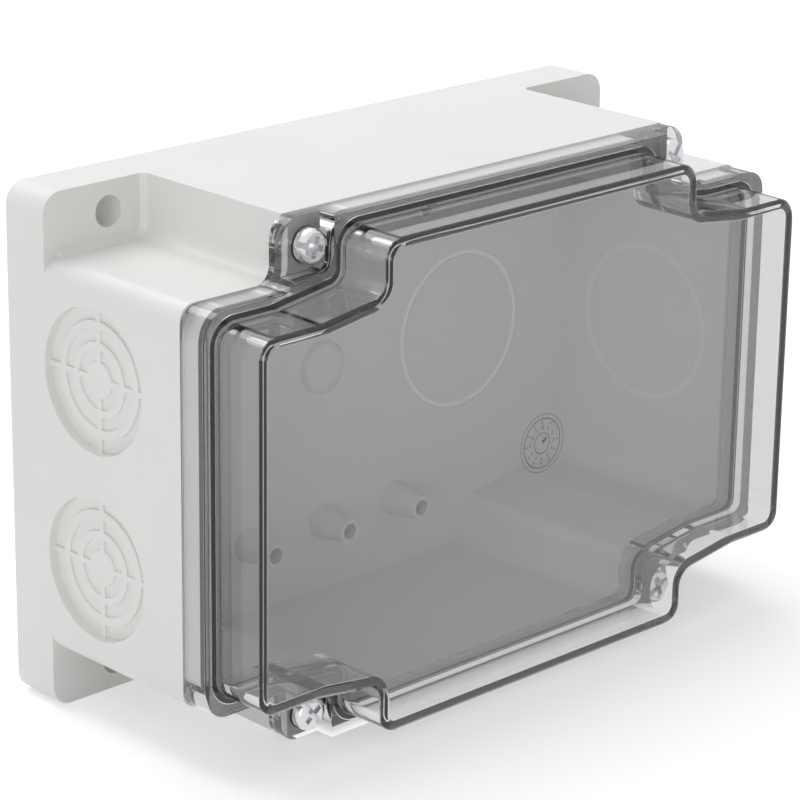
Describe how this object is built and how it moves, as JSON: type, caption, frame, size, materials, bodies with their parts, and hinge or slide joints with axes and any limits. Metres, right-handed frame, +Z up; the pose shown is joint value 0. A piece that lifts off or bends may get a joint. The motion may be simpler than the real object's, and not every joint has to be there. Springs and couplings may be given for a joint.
{
  "type": "electrical enclosure",
  "caption": "Surface-mounted plastic electrical enclosure with corner fixing lugs, side knock-outs and a screwed clear smoke-grey lid.",
  "frame": {"origin": "centre of the back face, which lies on the wall", "axes": "+X to the right seen from the front, +Z up, the lid faces -Y"},
  "size_m": [0.176, 0.08, 0.12],
  "materials": {
    "tray": "moulded ABS, light grey, fine satin",
    "lid": "polished smoke-grey polycarbonate",
    "gasket": "moulded EPDM rubber, matt",
    "screw": "bright zinc-plated steel",
    "washer": "punched EPDM rubber sheet, matt"
  },
  "bodies": {
    "tray": {"base_housing": "tray"},
    "cover": {"lid": "lid", "lid_gasket": "gasket"},
    "washer_1": {"screw_washer_1": "washer"},
    "screw_1": {"lid_screw_1": "screw"},
    "washer_2": {"screw_washer_2": "washer"},
    "screw_2": {"lid_screw_2": "screw"},
    "washer_3": {"screw_washer_3": "washer"},
    "screw_3": {"lid_screw_3": "screw"},
    "washer_4": {"screw_washer_4": "washer"},
    "screw_4": {"lid_screw_4": "screw"}
  },
  "joints": [
    {"name": "lid_lift", "type": "slide", "parent": "tray", "child": "cover", "axis": [0, -1, 0], "range_m": [0, 0.04]},
    {"name": "screw_1_travel", "type": "slide", "parent": "cover", "child": "washer_1", "axis": [0, -1, 0], "range_m": [0, 0.0154]},
    {"name": "screw_1_turn", "type": "hinge", "parent": "washer_1", "child": "screw_1", "pos_m": [-0.0567, -0.0627, 0.0536], "axis": [0, -1, 0], "range_deg": [0, 3960]},
    {"name": "screw_2_travel", "type": "slide", "parent": "cover", "child": "washer_2", "axis": [0, -1, 0], "range_m": [0, 0.0154]},
    {"name": "screw_2_turn", "type": "hinge", "parent": "washer_2", "child": "screw_2", "pos_m": [0.0567, -0.0627, 0.0536], "axis": [0, -1, 0], "range_deg": [0, 3960]},
    {"name": "screw_3_travel", "type": "slide", "parent": "cover", "child": "washer_3", "axis": [0, -1, 0], "range_m": [0, 0.0154]},
    {"name": "screw_3_turn", "type": "hinge", "parent": "washer_3", "child": "screw_3", "pos_m": [-0.0567, -0.0627, -0.0536], "axis": [0, -1, 0], "range_deg": [0, 3960]},
    {"name": "screw_4_travel", "type": "slide", "parent": "cover", "child": "washer_4", "axis": [0, -1, 0], "range_m": [0, 0.0154]},
    {"name": "screw_4_turn", "type": "hinge", "parent": "washer_4", "child": "screw_4", "pos_m": [0.0567, -0.0627, -0.0536], "axis": [0, -1, 0], "range_deg": [0, 3960]}
  ],
  "couplings": [
    {"joint": "screw_1_turn", "follows": "screw_1_travel", "rad_per_m": 4488},
    {"joint": "screw_2_turn", "follows": "screw_2_travel", "rad_per_m": 4488},
    {"joint": "screw_3_turn", "follows": "screw_3_travel", "rad_per_m": 4488},
    {"joint": "screw_4_turn", "follows": "screw_4_travel", "rad_per_m": 4488}
  ]
}
